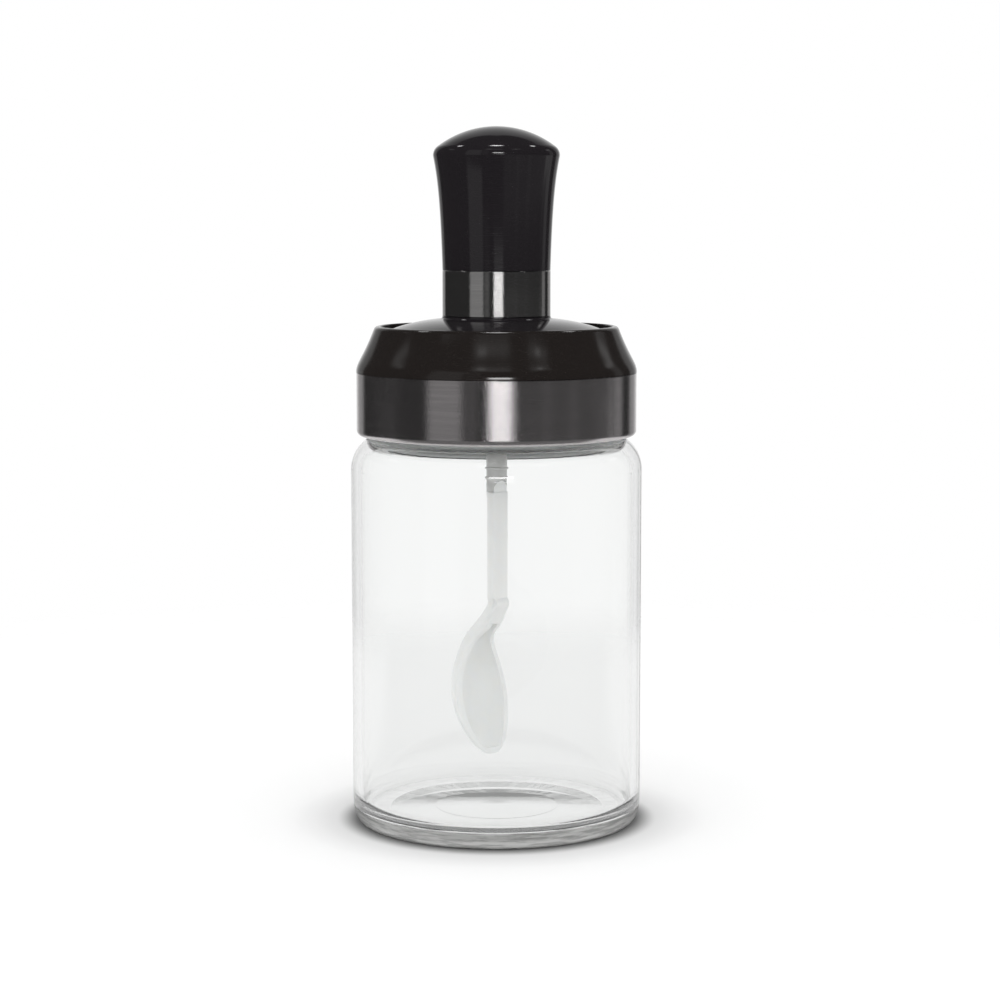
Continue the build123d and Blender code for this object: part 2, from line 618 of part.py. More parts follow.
def spoon_socket():
    """Socket that carries the spoon: shank in the plug, collar, tube and forked end."""
    bottom = SOCKET_BOTTOM
    collar_bottom = PLUG_BOTTOM - PRESS_GAP - SOCKET_COLLAR_HEIGHT
    socket = turned(
        (0, bottom, 0),
        (SOCKET_RADIUS, bottom, 0),
        (SOCKET_RADIUS, collar_bottom, SOCKET_NECK_ROUND),
        (SOCKET_COLLAR_RADIUS, collar_bottom, SOFT_EDGE),
        (SOCKET_COLLAR_RADIUS, PLUG_BOTTOM - PRESS_GAP, 0),
        (SOCKET_SHANK_RADIUS, PLUG_BOTTOM - PRESS_GAP, 0),
        (SOCKET_SHANK_RADIUS, PLUG_BOTTOM + SOCKET_SHANK_LENGTH, SOFT_EDGE),
        (0, PLUG_BOTTOM + SOCKET_SHANK_LENGTH, 0),
    )
    for height in SOCKET_BEAD_HEIGHTS:
        socket += Pos(0, 0, bottom + height) * Torus(SOCKET_RADIUS, SOCKET_BEAD_RADIUS)
    notch = extrude(
        tongue_outline(TONGUE_RADIUS + SPOON_FIT, bottom - CUT_ROOM, STEM_TOP + TONGUE_SHOULDER),
        2 * SOCKET_RADIUS,
        both=True,
    )
    tang_room = Box(
        TANG_WIDTH + 2 * SPOON_FIT,
        TANG_THICKNESS + 2 * SPOON_FIT,
        TANG_LENGTH + SPOON_FIT,
        align=(Align.CENTER, Align.CENTER, Align.MIN),
    )
    return Rot(0, 0, SPOON_TURN) * (socket - notch - Pos(0, 0, STEM_TOP) * tang_room)


def smooth_step(share):
    """Ease from 0 to 1 with level ends."""
    held = max(0, min(1, share))
    return held * held * (3 - 2 * held)


def spoon_half_width(height):
    """Half width of the spoon at a height."""
    if height >= BEND_TOP:
        top_share = (height - BEND_TOP) / STEM_LENGTH
        return (STEM_WIDTH + (STEM_TOP_WIDTH - STEM_WIDTH) * top_share) / 2
    neck = BEND_BOTTOM + SPOON_BEND_LENGTH * NECK_START
    if height >= neck:
        return STEM_WIDTH / 2
    if height >= BOWL_WIDEST:
        share = (height - BOWL_WIDEST) / (neck - BOWL_WIDEST)
        return STEM_WIDTH / 2 + (BOWL_WIDTH - STEM_WIDTH) / 2 * cos(pi / 2 * share) ** BOWL_TAPER
    share = (BOWL_WIDEST - height) / (BOWL_WIDEST - BOWL_BOTTOM)
    return BOWL_WIDTH / 2 * sqrt(1 - share**2)


def set_back(height, top):
    """How far a bend that starts at top has carried the spoon back at a height."""
    return SPOON_SET_BACK * smooth_step((top - height) / SPOON_BEND_LENGTH)


def plain_thickness(height):
    """Depth of the spoon's outside at a height, but for its bend."""
    if height >= BEND_TOP:
        top_share = (height - BEND_TOP) / STEM_LENGTH
        return STEM_THICKNESS + (STEM_TOP_THICKNESS - STEM_THICKNESS) * top_share
    deepest = BOWL_WIDEST - BOWL_LENGTH * DEEPEST_BELOW_WIDEST
    thin_top = BEND_BOTTOM + SPOON_BEND_LENGTH * DEPTH_START
    if height >= thin_top:
        return STEM_THICKNESS
    if height >= deepest:
        share = (height - deepest) / (thin_top - deepest)
        return STEM_THICKNESS + (BOWL_DEPTH - STEM_THICKNESS) * cos(pi / 2 * share) ** BOWL_TAPER
    share = (deepest - height) / (deepest - BOWL_BOTTOM)
    return BOWL_DEPTH * (1 - share**2) ** TIP_DEPTH_POWER


def spoon_thickness(height):
    """Depth of the spoon's outside from its front face to its back at a height."""
    back_leads = set_back(height, BEND_TOP) - set_back(height, BEND_TOP - SPOON_BEND_LAG)
    return plain_thickness(height) + back_leads


def spoon_front(height):
    """Distance of the front face behind the stem's axis at a height, +Y is backwards."""
    stem_front = -plain_thickness(max(height, BEND_TOP)) / 2
    curl_top = BEND_BOTTOM - BOWL_LENGTH * TIP_CURL_START
    curl = max(0, (curl_top - height) / (curl_top - BOWL_BOTTOM))
    lift = BOWL_TIP_LIFT * curl**TIP_CURL_POWER
    return stem_front + set_back(height, BEND_TOP - SPOON_BEND_LAG) - lift


def squared(value, height):
    """Move a section's cosine or sine outwards: much on the flat stem, not at all on the bowl."""
    roundness = smooth_step((BEND_TOP - height) / (BEND_TOP - BOWL_WIDEST))
    power = STEM_SQUARENESS + (1 - STEM_SQUARENESS) * roundness
    return copysign(abs(value) ** power, value)


def spoon_section(height, inset, front_bulge, depth_share):
    """Cross-section of the spoon: a shallow front and a deep round back."""
    half_width = spoon_half_width(height) - inset
    front = spoon_front(height) + SECTION_FRONT_BULGE
    depth = (spoon_thickness(height) - SECTION_FRONT_BULGE - inset) * depth_share
    points = []
    for step in range(SECTION_POINTS):
        angle = 2 * pi * step / SECTION_POINTS
        across = squared(cos(angle), height)
        through = squared(sin(angle), height)
        reach = depth if through > 0 else front_bulge
        points.append((half_width * across, front + reach * through))
    return Pos(0, 0, height) * make_face(Spline(*points, periodic=True))


def spoon():
    """One-piece moulded spoon: tang, tongue, tapered stem, bend and hollow bowl."""
    stem = loft([spoon_section(height, 0, SECTION_FRONT_BULGE, 1) for height in (STEM_TOP, BEND_TOP)])
    reach = BEND_TOP - BOWL_BOTTOM
    outside_sections = []
    for step in range(SPOON_SECTIONS + 1):
        height = BEND_TOP - TIP_SHARE * reach * sin(pi / 2 * step / SPOON_SECTIONS)
        outside_sections.append(spoon_section(height, 0, SECTION_FRONT_BULGE, 1))
    hollow_top = BEND_BOTTOM + SPOON_BEND_LENGTH * HOLLOW_TOP
    hollow_reach = hollow_top - BOWL_BOTTOM - BOWL_WALL
    hollow_sections = []
    for step in range(HOLLOW_SECTIONS + 1):
        height = hollow_top - TIP_SHARE * hollow_reach * sin(pi / 2 * step / HOLLOW_SECTIONS)
        deepening = smooth_step((hollow_top - height) / (HOLLOW_EASE * SPOON_BEND_LENGTH))
        depth_share = HOLLOW_START_SHARE + (1 - HOLLOW_START_SHARE) * deepening
        hollow_sections.append(spoon_section(height, BOWL_WALL, HOLLOW_FRONT, depth_share))
    body = stem + loft(outside_sections) - loft(hollow_sections)
    tongue = extrude(
        tongue_outline(TONGUE_RADIUS, STEM_TOP - CUT_ROOM, STEM_TOP + TONGUE_SHOULDER),
        STEM_TOP_THICKNESS / 2 - TONGUE_SIDE_STEP,
        both=True,
    )
    tang = Box(TANG_WIDTH, TANG_THICKNESS, TANG_LENGTH, align=(Align.CENTER, Align.CENTER, Align.MIN))
    return Rot(0, 0, SPOON_TURN) * (body + tongue + Pos(0, 0, STEM_TOP) * tang)


PIECES = {
    "glass_jar": glass_jar,
    "jar_gasket": jar_gasket,
    "screw_insert": screw_insert,
    "collar_cover": collar_cover,
    "steel_band": steel_band,
    "dome_cap": dome_cap,
    "plug_body": plug_body,
    "plug_seal": plug_seal,
    "handle_sleeve": handle_sleeve,
    "knob_shell": knob_shell,
    "knob_screw": knob_screw,
    "spoon_socket": spoon_socket,
    "spoon": spoon,
}

os.makedirs("parts", exist_ok=True)
for node, make_piece in PIECES.items():
    export_step(make_piece(), f"parts/{node}.step")
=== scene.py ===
import logging
import math
from dataclasses import dataclass
from enum import Enum
from typing import Iterable, Mapping

import bmesh
import bpy
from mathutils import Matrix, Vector

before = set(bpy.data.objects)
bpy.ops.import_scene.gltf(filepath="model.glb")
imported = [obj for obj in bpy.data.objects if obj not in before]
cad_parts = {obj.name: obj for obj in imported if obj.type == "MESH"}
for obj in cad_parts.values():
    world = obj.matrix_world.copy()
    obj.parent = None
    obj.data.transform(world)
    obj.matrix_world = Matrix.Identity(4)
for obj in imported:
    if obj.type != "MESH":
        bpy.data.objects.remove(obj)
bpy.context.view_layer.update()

LOG = logging.getLogger("condiment_jar")

Socket = bpy.types.NodeSocket
Value = float | int | tuple | Socket
Inputs = Mapping[str | int, Value]
Colour = tuple[float, float, float]
Triple = tuple[float, float, float]

WHITE: Colour = (1.0, 1.0, 1.0)
BLACK: Colour = (0.0, 0.0, 0.0)
HALF_TURN = 180.0


def millimetres(length: float) -> float:
    """Turn a length in millimetres into Blender's metres."""
    return length / 1000.0


class Look(Enum):
    """The finishes that a piece can have, by the names of their materials."""

    CLEAR_GLASS = "clear_glass"
    GLOSS_BLACK = "gloss_black"
    WARM_BLACK = "warm_black"
    SATIN_BLACK = "satin_black"
    BAND_STEEL = "brushed_band_steel"
    SLEEVE_STEEL = "polished_sleeve_steel"
    NATURAL_INSERT = "natural_insert"
    MILKY_SILICONE = "milky_silicone"
    SMOKY_SOCKET = "smoky_socket"
    WHITE_SPOON = "white_spoon"
    ZINC_SCREW = "zinc_screw"


Materials = Mapping[Look, bpy.types.Material]


class Graph:
    """Shader nodes of one tree, added and joined in few words."""

    # Sockets of the Mix node that belong to its colour mode.
    MIX_SHARE, MIX_FIRST, MIX_SECOND, MIX_RESULT = 0, 6, 7, 2

    def __init__(self, tree: bpy.types.NodeTree) -> None:
        """Keep the node tree of a material, world or group, which the nodes go into."""
        self.tree = tree

    def add(self, kind: str, inputs: Inputs | None = None, **settings: object) -> bpy.types.Node:
        """Add a node, set its own settings and fill or link its inputs.

        Args:
            kind: Blender's name of the node type, such as ShaderNodeMath.
            inputs: value or output socket for each named or numbered input.
            **settings: the node's own settings, such as operation.

        Returns:
            The new node.
        """
        node = self.tree.nodes.new(kind)
        for name, setting in settings.items():
            setattr(node, name, setting)
        for name, value in (inputs or {}).items():
            self.feed(node.inputs[name], value)
        return node

    def feed(self, target: Socket, value: Value) -> None:
        """Link an output to an input, or write a plain value on it.

        Args:
            target: the input socket.
            value: an output socket, a number or a tuple.
        """
        if isinstance(value, bpy.types.NodeSocket):
            self.tree.links.new(value, target)
        elif isinstance(value, tuple) and target.type == "RGBA" and len(value) == 3:
            target.default_value = (*value, 1.0)
        else:
            target.default_value = value

    def maths(self, operation: str, *values: Value) -> Socket:
        """Add a Math node with its operation and its inputs in order, and give its output."""
        return self.add("ShaderNodeMath", dict(enumerate(values)), operation=operation).outputs[0]

    def step(
        self, value: Value, low: Value, high: Value, to_low: Value = 0.0, to_high: Value = 1.0
    ) -> Socket:
        """Ease from to_low to to_high as the value goes from low to high."""
        inputs = {0: value, 1: low, 2: high, 3: to_low, 4: to_high}
        return self.add("ShaderNodeMapRange", inputs, interpolation_type="SMOOTHSTEP").outputs[0]

    def rise(self, length: Value, start: float, end: float) -> Socket:
        """Ease from 0 to 1 as a length in metres goes from start to end, in millimetres."""
        return self.step(length, millimetres(start), millimetres(end))

    def fall(self, length: Value, start: float, end: float) -> Socket:
        """Ease from 1 to 0 as a length in metres goes from start to end, in millimetres."""
        return self.step(length, millimetres(start), millimetres(end), 1.0, 0.0)

    def between(self, share: Value, first: Value, second: Value) -> Socket:
        """Go from the first value, at share 0, to the second, at share 1."""
        return self.maths("MULTIPLY_ADD", self.maths("SUBTRACT", second, first), share, first)

    def product(self, *values: Value) -> Socket:
        """Multiply two or more values.

        Args:
            *values: the values.

        Returns:
            Their product.
        """
        result, *others = values
        for value in others:
            result = self.maths("MULTIPLY", result, value)
        return result

    def noise(
        self, where: Socket, scale: Value, detail: float = 2.0, roughness: float = 0.5
    ) -> Socket:
        """Give a noise from 0 to 1, with scale in features per metre."""
        inputs = {"Vector": where, "Scale": scale, "Detail": detail, "Roughness": roughness}
        return self.add("ShaderNodeTexNoise", inputs).outputs[0]

    def stretched(self, where: Socket, along: Triple) -> Socket:
        """Stretch coordinates by a factor along X, Y and Z."""
        inputs = {0: where, 1: along}
        return self.add("ShaderNodeVectorMath", inputs, operation="MULTIPLY").outputs[0]

    def length(self, where: Socket) -> Socket:
        """Give the length of a vector."""
        return self.add("ShaderNodeVectorMath", {0: where}, operation="LENGTH").outputs["Value"]

    def split(self, where: Socket) -> bpy.types.NodeOutputs:
        """Give a vector's X, Y and Z."""
        return self.add("ShaderNodeSeparateXYZ", {0: where}).outputs

    def blend_colour(self, share: Value, first: Value, second: Value) -> Socket:
        """Mix two colours, with share saying how much of the second there is."""
        inputs = {self.MIX_SHARE: share, self.MIX_FIRST: first, self.MIX_SECOND: second}
        return self.add("ShaderNodeMix", inputs, data_type="RGBA").outputs[self.MIX_RESULT]


class SurfaceEffects:
    """Node groups for effects that several finishes share, each made once."""

    SMUDGE_FROM, SMUDGE_TO = 0.45, 0.75
    SCRATCH_SLANT: Triple = (0.5, 0.9, 0.3)
    SCRATCH_STRETCH: Triple = (0.06, 1.0, 1.0)
    SCRATCH_WIDTH = 0.012
    FINE_STRETCH: Triple = (1.0, 1.0, 60.0)
    FINE_SCALE = 220.0
    BROAD_STRETCH: Triple = (0.5, 0.5, 18.0)
    BROAD_SCALE = 90.0
    RAGGED_STRETCH: Triple = (1.0, 1.0, 1.5)
    RAGGED_SCALE = 2600.0

    made: dict[str, bpy.types.NodeTree] = {}

    @classmethod
    def start(
        cls, name: str, numbers: Iterable[str], results: Iterable[str]
    ) -> tuple[Graph, bpy.types.NodeOutputs, bpy.types.NodeInputs]:
        """Start a node group with its sockets.

        Args:
            name: the group's name.
            numbers: the names of its number inputs.
            results: the names of its outputs.

        Returns:
            The group's graph, what it is given and what it gives.
        """
        tree = bpy.data.node_groups.new(name, "ShaderNodeTree")
        tree.interface.new_socket("Where", in_out="INPUT", socket_type="NodeSocketVector")
        for label in numbers:
            tree.interface.new_socket(label, in_out="INPUT", socket_type="NodeSocketFloat")
        for label in results:
            tree.interface.new_socket(label, in_out="OUTPUT", socket_type="NodeSocketFloat")
        cls.made[name] = tree
        graph = Graph(tree)
        return graph, graph.add("NodeGroupInput").outputs, graph.add("NodeGroupOutput").inputs

    @classmethod
    def moulded_skin(cls) -> bpy.types.NodeTree:
        """Make the soft ripple and fine grain that a mould leaves.

        Returns:
            The group, with outputs Ripple and Grain.
        """
        name = "moulded_skin"
        if name not in cls.made:
            numbers = ["Ripple Scale", "Grain Scale"]
            graph, given, gives = cls.start(name, numbers, ["Ripple", "Grain"])
            ripple = graph.noise(given["Where"], given["Ripple Scale"], detail=1.0)
            grain = graph.noise(given["Where"], given["Grain Scale"], detail=3.0, roughness=0.6)
            graph.feed(gives["Ripple"], ripple)
            graph.feed(gives["Grain"], grain)
        return cls.made[name]

    @classmethod
    def handling_marks(cls) -> bpy.types.NodeTree:
        """Make soft smudges and hair-fine scratches from handling.

        Returns:
            The group, with outputs Smudges and Scratches.
        """
        name = "handling_marks"
        if name not in cls.made:
            numbers = ["Smudge Scale", "Scratch Scale"]
            graph, given, gives = cls.start(name, numbers, ["Smudges", "Scratches"])
            cloud = graph.noise(given["Where"], given["Smudge Scale"], detail=4.0, roughness=0.55)
            graph.feed(gives["Smudges"], graph.step(cloud, cls.SMUDGE_FROM, cls.SMUDGE_TO))
            slant = {
                "Vector": given["Where"],
                "Rotation": cls.SCRATCH_SLANT,
                "Scale": cls.SCRATCH_STRETCH,
            }
            slanted = graph.add("ShaderNodeMapping", slant).outputs[0]
            hair = graph.noise(slanted, given["Scratch Scale"], detail=2.0, roughness=0.7)
            centred = graph.maths("ABSOLUTE", graph.maths("SUBTRACT", hair, 0.5))
            scratches = graph.step(centred, 0.0, cls.SCRATCH_WIDTH, 1.0, 0.0)
            graph.feed(gives["Scratches"], scratches)
        return cls.made[name]

    @classmethod
    def turned_brushing(cls) -> bpy.types.NodeTree:
        """Make brushing that runs round the Z axis.

        Returns:
            The group, with outputs Lines, Tone and Raggedness.
        """
        name = "turned_brushing"
        if name not in cls.made:
            results = ["Lines", "Tone", "Raggedness"]
            graph, given, gives = cls.start(name, ["Lines Scale"], results)
            where = given["Where"]
            fine = graph.stretched(where, cls.FINE_STRETCH)
            broad = graph.stretched(where, cls.BROAD_STRETCH)
            fine_scale = graph.product(given["Lines Scale"], cls.FINE_SCALE)
            broad_scale = graph.product(given["Lines Scale"], cls.BROAD_SCALE)
            thin = graph.noise(fine, fine_scale, detail=4.0, roughness=0.65)
            wide = graph.noise(broad, broad_scale, detail=2.0, roughness=0.5)
            tone = graph.maths("ADD", graph.product(thin, 0.5), graph.product(wide, 0.5))
            short = graph.stretched(where, cls.RAGGED_STRETCH)
            ragged = graph.noise(short, cls.RAGGED_SCALE, detail=2.0, roughness=0.6)
            graph.feed(gives["Lines"], thin)
            graph.feed(gives["Tone"], tone)
            graph.feed(gives["Raggedness"], ragged)
        return cls.made[name]


@dataclass(frozen=True)
class Finish:
    """What every finish has. Depths of its bumps are in metres."""

    look: Look

    def build(self) -> bpy.types.Material:
        """Make the material, in each finish's own way."""
        raise NotImplementedError

    def open_material(self) -> tuple[bpy.types.Material, Graph, Socket]:
        """Make an empty node material.

        Returns:
            The material, its graph and its coordinates in metres.
        """
        material = bpy.data.materials.new(self.look.value)
        material.use_nodes = True
        material.node_tree.nodes.clear()
        graph = Graph(material.node_tree)
        return material, graph, graph.add("ShaderNodeTexCoord").outputs["Object"]

    def principled(self, graph: Graph, inputs: Inputs) -> Socket:
        """Add the main shader with its values and links by name."""
        return graph.add("ShaderNodeBsdfPrincipled", inputs).outputs[0]

    def close_material(self, graph: Graph, shader: Socket) -> None:
        """Send the finished shader to the material's output."""
        graph.add("ShaderNodeOutputMaterial", {"Surface": shader})

    def effect(
        self, graph: Graph, tree: bpy.types.NodeTree, where: Socket, **numbers: float
    ) -> bpy.types.NodeOutputs:
        """Place a shared effect with this finish's own values.

        Args:
            graph: the material's graph.
            tree: the effect's node group.
            where: coordinates in metres.
            **numbers: values of its inputs, with _ for a space.

        Returns:
            What the effect gives.
        """
        node = graph.add("ShaderNodeGroup", node_tree=tree)
        graph.feed(node.inputs["Where"], where)
        for label, number in numbers.items():
            node.inputs[label.replace("_", " ")].default_value = number
        return node.outputs

    def bump(
        self, graph: Graph, height: Socket, depth: float, below: Socket | None = None
    ) -> Socket:
        """Turn a height into a bent normal.

        Args:
            graph: the material's graph.
            height: the height from 0 to 1.
            depth: how deep a height of 1 is, in metres.
            below: the normal that this one is laid over.

        Returns:
            The normal.
        """
        inputs: dict[str | int, Value] = {"Height": height, "Distance": depth, "Strength": 1.0}
        if below is not None:
            inputs["Normal"] = below
        return graph.add("ShaderNodeBump", inputs).outputs[0]


@dataclass(frozen=True)
class ClearGlass(Finish):
    """Clear fire-polished glass with soft waves, a frosted neck, and a base rim with bumped streaks
    and painted shade.

    Heights, radii and their fades are in millimetres. The foot that shades the ground most
    is full up to thick_share of thick_height.
    """

    tint: Colour = (0.985, 0.99, 0.987)
    # Painted shade on the outside of the base rim: dark grey with darker streaks, and a painted
    # contact shadow at its foot, up to contact_height.
    painted_heel_shade: Colour = (0.33, 0.33, 0.32)
    painted_heel_streak_shade: Colour = (0.13, 0.13, 0.127)
    painted_contact_shadow: Colour = (0.06, 0.06, 0.058)
    contact_height: float = 1.3
    refraction: float = 1.5
    wave_stretch: Triple = (1.0, 1.0, 0.35)
    wave_scale: float = 42.0
    wave_depth: float = 0.000015
    streak_stretch: Triple = (1.0, 1.0, 12.0)
    streak_scale: float = 140.0
    streak_from: float = 0.42
    streak_to: float = 0.6
    streak_depth: float = 0.00003
    heel_height: float = 4.2
    heel_height_fade: float = 0.5
    heel_radius: float = 30.35
    heel_radius_fade: float = 0.3
    heel_roughness: float = 0.3
    neck_height: float = 86.0
    neck_fade: float = 0.4
    neck_roughness: float = 0.5
    thick_height: float = 10.0
    thick_share: float = 0.6
    thick_radius: float = 22.0
    thick_fade: float = 2.0
    wall_shade: Colour = (0.965, 0.97, 0.965)
    foot_shade: Colour = (0.03, 0.03, 0.03)

    def build(self) -> bpy.types.Material:
        """Make the material.

        Returns:
            The material.
        """
        material, graph, where = self.open_material()
        height = graph.split(where)["Z"]
        outward = graph.length(graph.stretched(where, (1.0, 1.0, 0.0)))
        heel = self.heel_mask(graph, height, outward)
        outside = graph.maths("SUBTRACT", 1.0, self.inner_side(graph))
        heel_outside = graph.product(heel, outside)
        drawn = graph.stretched(where, self.streak_stretch)
        streaks = graph.noise(drawn, self.streak_scale, detail=3.0, roughness=0.6)
        waves = graph.noise(graph.stretched(where, self.wave_stretch), self.wave_scale, detail=1.0)
        normal = self.bump(graph, waves, self.wave_depth)
        normal = self.bump(graph, graph.product(streaks, heel), self.streak_depth, normal)
        glass = self.principled(
            graph,
            {
                "Base Color": self.base_colour(graph, height, streaks, heel_outside),
                "Roughness": self.base_roughness(graph, height, heel_outside),
                "IOR": self.refraction,
                "Transmission Weight": 1.0,
                "Normal": normal,
            },
        )
        shade = self.shadow_colour(graph, height, outward)
        clear = graph.add("ShaderNodeBsdfTransparent", {"Color": shade}).outputs[0]
        casting = graph.add("ShaderNodeLightPath").outputs["Is Shadow Ray"]
        mixed = graph.add("ShaderNodeMixShader", {0: casting, 1: glass, 2: clear}).outputs[0]
        self.close_material(graph, mixed)
        return material

    def inner_side(self, graph: Graph) -> Socket:
        """Give 1 where the ray meets the glass from within."""
        return graph.add("ShaderNodeNewGeometry").outputs["Backfacing"]

    def heel_mask(self, graph: Graph, height: Socket, outward: Socket) -> Socket:
        """Mark the rim of the jar's thick base.

        Args:
            graph: the material's graph.
            height: the height in metres.
            outward: the distance from the axis in metres.

        Returns:
            1 on the rim, 0 elsewhere.
        """
        low = graph.fall(height, self.heel_height - self.heel_height_fade, self.heel_height)
        rim = graph.rise(outward, self.heel_radius, self.heel_radius + self.heel_radius_fade)
        return graph.product(low, rim)

    def base_colour(self, graph: Graph, height: Socket, streaks: Socket, heel: Socket) -> Socket:
        """Tint the glass: nearly clear, with painted shade on the outside of the rim, streaked and
        darkest at its foot as a painted contact shadow.

        Args:
            graph: the material's graph.
            height: the height in metres.
            streaks: the streaks from 0 to 1.
            heel: 1 on the outside of the base's rim.

        Returns:
            The colour.
        """
        # Painted shade: the rim goes dark grey with darker streaks, and darkest at its foot as a
        # painted contact shadow.
        dark = graph.step(streaks, self.streak_from, self.streak_to)
        painted_shade = graph.blend_colour(dark, self.painted_heel_shade, self.painted_heel_streak_shade)
        contact = graph.fall(height, 0.0, self.contact_height)
        painted_shade = graph.blend_colour(contact, painted_shade, self.painted_contact_shadow)
        return graph.blend_colour(heel, self.tint, painted_shade)

    def base_roughness(self, graph: Graph, height: Socket, heel: Socket) -> Socket:
        """Roughen the base's rim and the neck inside the collar.

        Args:
            graph: the material's graph.
            height: the height in metres.
            heel: 1 on the outside of the base's rim.

        Returns:
            The roughness.
        """
        neck = graph.step(
            height,
            millimetres(self.neck_height - self.neck_fade),
            millimetres(self.neck_height + self.neck_fade),
            0.0,
            self.neck_roughness,
        )
        return graph.maths("ADD", graph.product(heel, self.heel_roughness), neck)

    def shadow_colour(self, graph: Graph, height: Socket, outward: Socket) -> Socket:
        """Give how much light the glass lets through to the ground, least at its thick foot.

        Args:
            graph: the material's graph.
            height: the height in metres.
            outward: the distance from the axis in metres.

        Returns:
            The colour.
        """
        low = graph.fall(height, self.thick_height * self.thick_share, self.thick_height)
        outer = graph.rise(outward, self.thick_radius, self.thick_radius + self.thick_fade)
        return graph.blend_colour(graph.product(low, outer), self.wall_shade, self.foot_shade)


@dataclass(frozen=True)
class GlossPlastic(Finish):
    """Glossy moulded plastic with a faint ripple, smudges and scratches."""

    colour: Colour = (0.0145, 0.0125, 0.0145)
    worn_colour: Colour = (0.024, 0.022, 0.023)
    worn_share: float = 0.35
    roughness: float = 0.07
    smudge_roughness: float = 0.05
    scratch_roughness: float = 0.05
    refraction: float = 1.5
    ripple_scale: float = 110.0
    ripple_depth: float = 0.000010
    grain_scale: float = 2400.0
    grain_depth: float = 0.0000006
    smudge_scale: float = 70.0
    scratch_scale: float = 700.0

    def build(self) -> bpy.types.Material:
        """Make the material.

        Returns:
            The material.
        """
        material, graph, where = self.open_material()
        skin = self.effect(
            graph,
            SurfaceEffects.moulded_skin(),
            where,
            Ripple_Scale=self.ripple_scale,
            Grain_Scale=self.grain_scale,
        )
        marks = self.effect(
            graph,
            SurfaceEffects.handling_marks(),
            where,
            Smudge_Scale=self.smudge_scale,
            Scratch_Scale=self.scratch_scale,
        )
        worn = graph.product(marks["Scratches"], self.worn_share)
        rough = graph.maths("MULTIPLY_ADD", marks["Smudges"], self.smudge_roughness, self.roughness)
        rough = graph.maths("MULTIPLY_ADD", marks["Scratches"], self.scratch_roughness, rough)
        normal = self.bump(graph, skin["Ripple"], self.ripple_depth)
        normal = self.bump(graph, skin["Grain"], self.grain_depth, normal)
        shader = self.principled(
            graph,
            {
                "Base Color": graph.blend_colour(worn, self.colour, self.worn_colour),
                "Roughness": rough,
                "IOR": self.refraction,
                "Normal": normal,
            },
        )
        self.close_material(graph, shader)
        return material


@dataclass(frozen=True)
class BrushedSteel(Finish):
    """Steel brushed round the axis."""

    colour: Colour = (0.60, 0.57, 0.575)
    dark_colour: Colour = (0.52, 0.495, 0.50)
    tone_from: float = 0.3
    tone_to: float = 0.7
    roughness: float = 0.18
    dull_roughness: float = 0.02
    bright_smoothing: float = 0.05
    smudge_roughness: float = 0.04
    smudge_scale: float = 55.0
    anisotropy: float = 0.98
    brushing_turn: float = 0.25
    lines_scale: float = 1.0
    line_depth: float = 0.0000003
    ragged_depth: float = 0.00002

    def build(self) -> bpy.types.Material:
        """Make the material.

        Returns:
            The material.
        """
        material, graph, where = self.open_material()
        brushing = self.effect(
            graph, SurfaceEffects.turned_brushing(), where, Lines_Scale=self.lines_scale
        )
        marks = self.effect(
            graph, SurfaceEffects.handling_marks(), where, Smudge_Scale=self.smudge_scale
        )
        tone = graph.step(brushing["Tone"], self.tone_from, self.tone_to)
        dull = self.roughness + self.dull_roughness
        rough = graph.maths("MULTIPLY_ADD", tone, -self.bright_smoothing, dull)
        rough = graph.maths("MULTIPLY_ADD", marks["Smudges"], self.smudge_roughness, rough)
        normal = self.bump(graph, brushing["Lines"], self.line_depth)
        normal = self.bump(graph, brushing["Raggedness"], self.ragged_depth, normal)
        tangent = graph.add("ShaderNodeTangent", direction_type="RADIAL", axis="Z").outputs[0]
        shader = self.principled(
            graph,
            {
                "Base Color": graph.blend_colour(tone, self.dark_colour, self.colour),
                "Metallic": 1.0,
                "Roughness": rough,
                "Anisotropic": self.anisotropy,
                "Anisotropic Rotation": self.brushing_turn,
                "Tangent": tangent,
                "Normal": normal,
            },
        )
        self.close_material(graph, shader)
        return material


@dataclass(frozen=True)
class SatinPlastic(Finish):
    """Satin moulded plastic or silicone with a fine even grain, and a glow where it is pale."""

    colour: Colour = (0.03, 0.03, 0.03)
    pale_colour: Colour = (0.045, 0.045, 0.045)
    pale_share: float = 0.7
    roughness: float = 0.42
    smudge_roughness: float = 0.08
    smudge_scale: float = 90.0
    refraction: float = 1.46
    glow: float = 0.0
    glow_depth: float = 0.002
    glow_reach: Triple = (1.0, 0.9, 0.8)
    ripple_scale: float = 120.0
    grain_scale: float = 3200.0
    grain_depth: float = 0.000004

    def build(self) -> bpy.types.Material:
        """Make the material.

        Returns:
            The material.
        """
        material, graph, where = self.open_material()
        skin = self.effect(
            graph,
            SurfaceEffects.moulded_skin(),
            where,
            Ripple_Scale=self.ripple_scale,
            Grain_Scale=self.grain_scale,
        )
        marks = self.effect(
            graph, SurfaceEffects.handling_marks(), where, Smudge_Scale=self.smudge_scale
        )
        pale = graph.product(skin["Ripple"], self.pale_share)
        rough = graph.maths("MULTIPLY_ADD", marks["Smudges"], self.smudge_roughness, self.roughness)
        shader = self.principled(
            graph,
            {
                "Base Color": graph.blend_colour(pale, self.colour, self.pale_colour),
                "Roughness": rough,
                "IOR": self.refraction,
                "Subsurface Weight": self.glow,
                "Subsurface Scale": self.glow_depth,
                "Subsurface Radius": self.glow_reach,
                "Normal": self.bump(graph, skin["Grain"], self.grain_depth),
            },
        )
        self.close_material(graph, shader)
        return material


